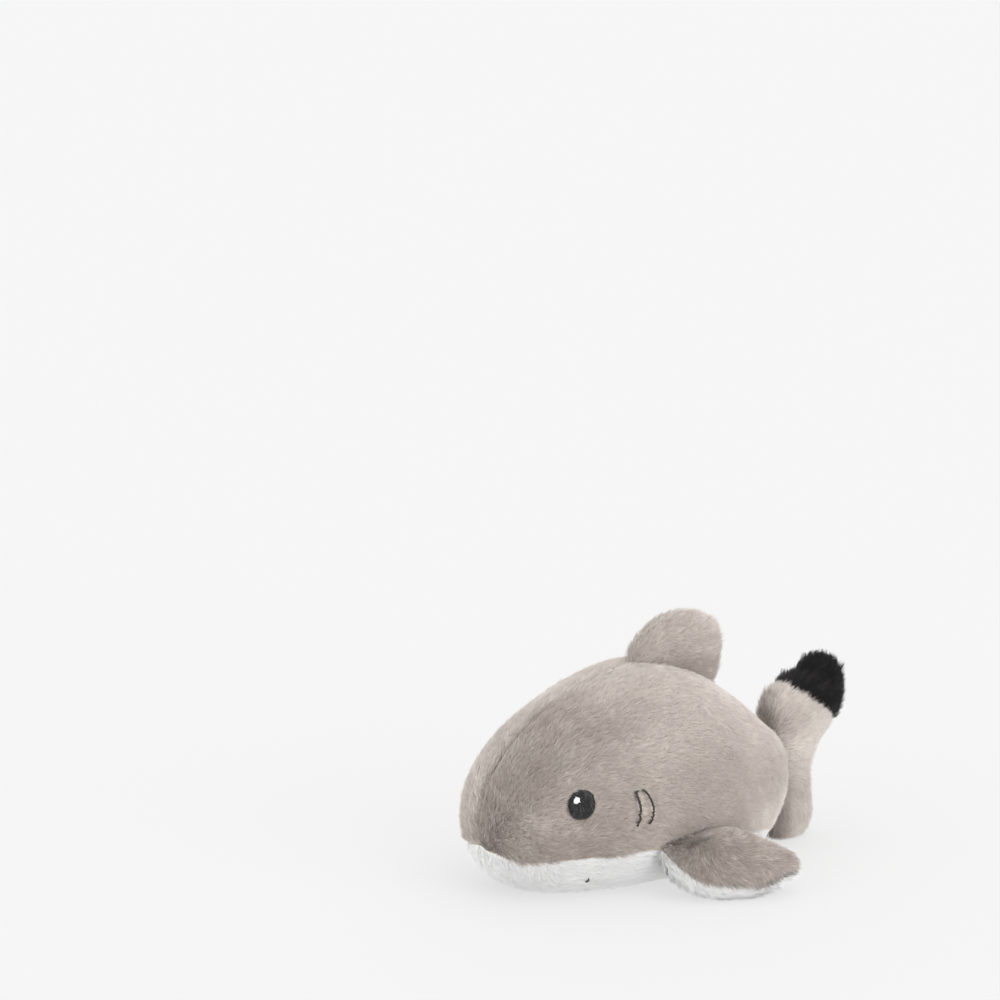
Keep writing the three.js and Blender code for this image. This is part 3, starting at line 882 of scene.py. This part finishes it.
def attach(piece, bodies, bend):
    if bend is None:
        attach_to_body(piece, bodies)
    else:
        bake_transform(piece)


def shallow_groove(place):
    """Most seams hardly draw the pile in."""
    return 0.15 * MM


def snout_groove(place):
    """The middle seam of the snout is drawn in deep, and fades out over the brow."""
    on_middle = 1 - min(1, abs(place.x) / (6 * MM))
    on_snout = float(ramp(-place.y, 32 * MM, 62 * MM)) * float(ramp(place.z, 18 * MM, 30 * MM))
    return 0.1 * MM + 0.8 * MM * on_middle * on_snout


def dress(skin, groups, cuts, looks, bodies, bend, groove=shallow_groove):
    """Splits a skin into panels and grows each one's fur. With no joint given, all of it is joined to
    its bodies; with a joint, its placement is only baked into its mesh.
    """
    for name, piece in split_into_panels(skin, groups, cuts, groove).items():
        fur, material, slot, shaping = looks[name]
        hairs = grow(name, piece, fur, UNDERCOAT, shaping) + grow(name, piece, fur, OVERCOAT, shaping)
        finish_skin(piece, material, groups[name], slot)
        for thing in (piece, *hairs):
            attach(thing, bodies, bend)


def grey(fur, shaping=no_shaping):
    return fur, GREY_BACKING, "grey_fur", shaping


def white(fur, shaping=no_shaping):
    return fur, WHITE_BACKING, "white_fur", shaping


def dress_body():
    left = ["side_panel_left", "tail_root_left"]
    right = ["side_panel_right", "tail_root_right"]
    belly = ["belly_panel"]
    filling = ["body_stuffing", "tail_root_stuffing"]
    skin = stuffed_skin(left + right + belly + filling, 2.4 * MM, 6, 0.9 * MM)
    groups = {"side_skin_left": left, "side_skin_right": right, "belly_skin": belly}
    cuts = [(left + right, belly), (left, right)]
    looks = {
        "side_skin_left": grey(GREY_BODY, around_face),
        "side_skin_right": grey(GREY_BODY, around_face),
        "belly_skin": white(WHITE_BODY, under_belly),
    }
    dress(skin, groups, cuts, looks, ("torso", "tail_root"), SWAY_BEND, snout_groove)


def seat_root(skin, nodes, reach, depth):
    """Draws the open root of a fin onto the body that it is sewn to."""
    panels = [Panel(node) for node in nodes]
    for vertex in skin.data.vertices:
        place, _, _, distance = min((p.tree.find_nearest(vertex.co) for p in panels), key=lambda f: f[3])
        if distance < reach:
            toward = (place - vertex.co).normalized()
            vertex.co += toward * depth * (1 - distance / reach)


def dress_dorsal_fin():
    left, right = ["dorsal_fin_left"], ["dorsal_fin_right"]
    skin = stuffed_skin(left + right + ["dorsal_stuffing"], 1.2 * MM, 4, 0.5 * MM)
    seat_root(skin, ["side_panel_left", "side_panel_right"], 6 * MM, 3.2 * MM)
    groups = {"dorsal_skin_left": left, "dorsal_skin_right": right}
    looks = {name: grey(GREY_DORSAL) for name in groups}
    dress(skin, groups, [(left, right)], looks, ("torso", "dorsal_fin"), DORSAL_BEND)


def dress_pectoral_fin(side, sign):
    top, under = [f"pectoral_top_{side}"], [f"pectoral_under_{side}"]
    filling = [f"pectoral_stuffing_{side}"]
    skin = stuffed_skin(top + under + filling, 1.3 * MM, 4, 0.5 * MM)
    seat_root(skin, [f"side_panel_{side}", "belly_panel"], 6 * MM, 2 * MM)
    groups = {f"pectoral_top_skin_{side}": top, f"pectoral_under_skin_{side}": under}
    looks = {
        f"pectoral_top_skin_{side}": grey(GREY_PECTORAL),
        f"pectoral_under_skin_{side}": white(WHITE_PECTORAL),
    }
    bodies = ("torso", f"pectoral_{side}")
    dress(skin, groups, [(top, under)], looks, bodies, pectoral_bend(sign))


def dress_tail_fin():
    left, right = ["tail_fin_left"], ["tail_fin_right"]
    left_tip, right_tip = ["tail_tip_left"], ["tail_tip_right"]
    fur_panels = left + right + left_tip + right_tip
    skin = stuffed_skin(fur_panels + ["tail_stuffing"], 1.3 * MM, 4, 0.5 * MM)
    groups = {
        "tail_skin_left": left,
        "tail_skin_right": right,
        "tail_tip_skin_left": left_tip,
        "tail_tip_skin_right": right_tip,
    }
    cuts = [(left + left_tip, right + right_tip), (left + right, left_tip + right_tip)]
    black = (BLACK_TAIL, BLACK_BACKING, "black_fur", notched)
    looks = {
        "tail_skin_left": grey(GREY_TAIL, tufted),
        "tail_skin_right": grey(GREY_TAIL, tufted),
        "tail_tip_skin_left": black,
        "tail_tip_skin_right": black,
    }
    dress(skin, groups, cuts, looks, ("tail_root", "tail_fin"), FOLD_BEND)


dress_body()
dress_dorsal_fin()
for side, sign in SIDES.items():
    dress_pectoral_fin(side, sign)
dress_tail_fin()

# ---- Embroidery ----

THREAD_SIDES = 6
THREAD_END = 0.5  # of its radius
RIM_HEIGHT = 0.42  # of an embroidered dome's height
FIRST_MATERIAL_SHARE = 0.65
BODY_AXIS = np.array((0, 0, 32)) * MM
GILL_STEP = 1.5 * MM
GILL_WOBBLE = 0.18 * MM
GILL_HEIGHTS = (0, 0.9, 1, 0.9, 0.3)  # mm, from the bottom up
UNDER_FUR = -2.6  # mm
MOUTH_HEIGHTS = (0.5, *[UNDER_FUR] * 60, 0.5)  # only the corners of the mouth show
SATIN_PROFILE = ((-0.08, -1.2), (0.08, 0.1), (0.35, 0.6), (0.65, 0.6), (0.92, 0.1), (1.08, -1.2))
STITCH_PROFILE = ((0, -0.6), (0.12, 0.1), (0.35, 0.4), (0.65, 0.4), (0.88, 0.1), (1, -0.6))

def threads(name, paths, outward, radius, materials):
    """Round threads as closed tubes, each along its own path and narrow at both ends. Each
    thread is of one of the materials, and most are of the first."""
    vertices = []
    faces = []
    choice = []
    for path in paths:
        path = np.array(path)
        ahead = unit(np.gradient(path, axis=0))
        across = unit(np.cross(ahead, outward))
        over = np.cross(across, ahead)
        first = len(vertices)
        last = len(path) - 1
        for i, point in enumerate(path):
            size = radius * (THREAD_END if i in (0, last) else 1)
            for k in range(THREAD_SIDES):
                angle = 2 * math.pi * k / THREAD_SIDES
                vertices.append(point + size * (across[i] * math.cos(angle) + over[i] * math.sin(angle)))
        for i in range(last):
            here, there = first + i * THREAD_SIDES, first + (i + 1) * THREAD_SIDES
            for k in range(THREAD_SIDES):
                m = (k + 1) % THREAD_SIDES
                faces.append((here + k, here + m, there + m, there + k))
        faces.append([first + THREAD_SIDES - 1 - k for k in range(THREAD_SIDES)])
        faces.append([first + last * THREAD_SIDES + k for k in range(THREAD_SIDES)])
        which = 0 if RANDOM.random() < FIRST_MATERIAL_SHARE else len(materials) - 1
        choice += [which] * (last * THREAD_SIDES + 2)
    mesh = bpy.data.meshes.new(name)
    mesh.from_pydata([tuple(v) for v in vertices], [], faces)
    for material in materials:
        mesh.materials.append(material)
    mesh.polygons.foreach_set("material_index", choice)
    mesh.shade_smooth()
    made = bpy.data.objects.new(name, mesh)
    bpy.context.collection.objects.link(made)
    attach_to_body(made, "torso")
    return made


class Oval:
    """An embroidered oval: its middle, its directions and its half sizes."""

    def __init__(self, node, side):
        spots = positions(NODES[node].data)
        self.centre = spots.mean(axis=0)
        _, _, axes = np.linalg.svd(spots - self.centre)
        self.out = axes[2] * np.sign(axes[2][0] * side)
        self.up = unit(np.array((0.0, 0.0, 1.0)) - self.out * self.out[2])
        self.back = np.cross(self.up, self.out) * np.sign(np.cross(self.up, self.out)[1])
        offsets = spots - self.centre
        self.half_length = np.abs(offsets @ self.back).max()
        self.half_height = np.abs(offsets @ self.up).max()
        self.base = (offsets @ self.out).min()
        self.height = (offsets @ self.out).max() - self.base

    def dome(self, back, up):
        """A point on the dome, where back and up are shares of its half sizes."""
        from_middle = min(math.hypot(back, up), 1.1)
        share = RIM_HEIGHT + (1 - RIM_HEIGHT) * max(0, 1 - from_middle ** 5)
        return (
            self.centre + self.back * back * self.half_length + self.up * up * self.half_height
            + self.out * (self.base + self.height * share)
        )


def satin(name, node, side, rows, stitches, slant, ragged, radius, materials):
    """An oval filled with rows of short stitches, whose ends dip. ragged is how unevenly the
    rows end."""
    oval = Oval(node, side)
    paths = []
    for place in np.linspace(-0.96, 0.96, rows):
        reach = math.sqrt(1 - place * place) * (1 + ragged * RANDOM.uniform(-0.6, 0.4))
        ends = np.linspace(-reach, reach, max(1, round(stitches * reach)) + 1)
        ends[1:-1] += RANDOM.uniform(-0.12, 0.12, len(ends) - 2)
        for start, end in zip(ends, ends[1:]):
            path = []
            for t, rise in SATIN_PROFILE:
                step = start + (end - start) * t
                back = place * math.cos(slant) - step * math.sin(slant)
                up = place * math.sin(slant) + step * math.cos(slant)
                path.append(oval.dome(back, up) + oval.out * radius * (rise + RANDOM.uniform(0, 0.5)))
            paths.append(path)
    return threads(name, paths, oval.out, radius, materials)


def line_of(node, axis):
    """The middle of a line of CAD stitching, as a function of its place along one axis."""
    spots = positions(NODES[node].data)
    others = [i for i in range(3) if i != axis]
    curves = {i: np.polyfit(spots[:, axis], spots[:, i], 4) for i in others}

    def place(value):
        point = np.empty(3)
        point[axis] = value
        for i, curve in curves.items():
            point[i] = np.polyval(curve, value)
        return point

    return place, spots[:, axis].min(), spots[:, axis].max()


def stitch(start, end, height):
    """One stitch, whose ends go down into the fur."""
    out = unit((start + end) / 2 * np.array((1, 0, 1)) - BODY_AXIS)
    return [start + (end - start) * t + out * (rise + height) * MM for t, rise in STITCH_PROFILE]


def stitched_line(node, axis, step, heights, radius, wobble=0.1 * MM, extra=()):
    """Replaces a line of CAD stitching by single stitches, at heights given along it."""
    place, low, high = line_of(node, axis)
    count = round((high - low) / step)
    places = np.linspace(low, high, count + 1)
    spots = [place(value) + RANDOM.normal(size=3) * wobble for value in places]
    paths = []
    for i, (start, end) in enumerate(zip(spots, spots[1:])):
        overlap = (end - start) * 0.1
        height = np.interp(i / (count - 1), np.linspace(0, 1, len(heights)), heights)
        paths.append(stitch(start - overlap, end + overlap, height))
    paths += [stitch(start, end, -0.3) for start, end in extra]
    outward = unit(np.mean(spots, axis=0) * np.array((1, 0, 1)) - BODY_AXIS)
    made = threads(node.replace("stitch", "thread"), paths, outward, radius, [DARK_THREAD])
    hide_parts(node)


def embroider_eye(side, sign):
    # about a third of the eye's threads take the painted sheen
    black = [BLACK_THREAD, BLACK_PAINTED_SHEEN]
    eye = satin(f"eye_satin_{side}", f"eye_{side}", sign, 25, 5, 0.25, 0.12, 0.23 * MM, black)
    white = [WHITE_THREAD]
    glint = satin(f"glint_satin_{side}", f"eye_glint_{side}", sign, 5, 1, 0.7, 0.5, 0.2 * MM, white)


def embroider_gills(side):
    """Two upright lines, with a short bar at the top of the front one."""
    front_node, rear_node = f"gill_stitch_front_{side}", f"gill_stitch_rear_{side}"
    front, _, front_top = line_of(front_node, 2)
    rear, _, rear_top = line_of(rear_node, 2)
    bar = [(front(front_top), (front(front_top) + rear(rear_top)) / 2)]
    stitched_line(front_node, 2, GILL_STEP, GILL_HEIGHTS, 0.5 * MM, GILL_WOBBLE, bar)
    stitched_line(rear_node, 2, GILL_STEP, GILL_HEIGHTS, 0.46 * MM, GILL_WOBBLE)


for side, sign in SIDES.items():
    embroider_eye(side, sign)
    embroider_gills(side)
stitched_line("mouth_stitch", 0, 1 * MM, MOUTH_HEIGHTS, 0.38 * MM)

# ---- CAD pieces that stay ----


def repaint(node, material):
    mesh = NODES[node].data
    mesh.materials.clear()
    mesh.materials.append(material)


for node in NODES:
    if "stuffing" in node:
        repaint(node, STUFFING)
    elif node.startswith("eye_glint"):
        repaint(node, WHITE_THREAD)
    elif node.startswith("eye"):
        repaint(node, BLACK_THREAD)
    elif node.startswith("closing"):
        repaint(node, SEAM_THREAD)
    elif "stitch" in node:
        repaint(node, DARK_THREAD)

# ---- Studio ----

FLOOR_SIZE = 500
FLOOR_GREY = 0.22
FLOOR_GLOW = 0.605
SKY_STRENGTH = 0.92
LIGHTS = (  # name, where it comes from, how many degrees wide it is, and its strength
    ("key", (0.15, 0.3, 1), 70, 0.9),
    ("fill_from_head", (0.35, -1, 0.1), 60, 1.3),
    ("fill_from_left", (0.9, 0.25, 0.1), 60, 2.0),
    ("fill_from_behind", (-0.8, 0.6, 0.15), 60, 1.0),
)

def add_floor():
    """A pale floor that gives a little light of its own, so that shadows on it stay faint."""
    bpy.ops.mesh.primitive_plane_add(size=FLOOR_SIZE, location=(0, 0, -ABOVE_FLOOR))
    floor = bpy.context.object
    floor.name = "floor"
    paint = plain_material("floor_paint", (FLOOR_GREY, FLOOR_GREY, FLOOR_GREY, 1), 1, 0, 0)
    shader = paint.node_tree.nodes["Principled BSDF"]
    shader.inputs["Emission Color"].default_value = (1, 1, 1, 1)
    shader.inputs["Emission Strength"].default_value = FLOOR_GLOW
    floor.data.materials.append(paint)


def add_light(name, direction, degrees_wide, strength):
    data = bpy.data.lights.new(name, "SUN")
    data.angle = math.radians(degrees_wide)
    data.energy = strength
    light = bpy.data.objects.new(name, data)
    light.rotation_mode = "QUATERNION"
    light.rotation_quaternion = (-Vector(direction)).to_track_quat("-Z", "Y")
    bpy.context.collection.objects.link(light)


def add_studio():
    add_floor()
    world = bpy.data.worlds.new("studio")
    world.use_nodes = True
    sky = world.node_tree.nodes["Background"]
    sky.inputs["Color"].default_value = (1, 1, 1, 1)
    sky.inputs["Strength"].default_value = SKY_STRENGTH
    bpy.context.scene.world = world
    bpy.context.scene.view_settings.view_transform = "Standard"
    for settings in LIGHTS:
        add_light(*settings)


add_studio()
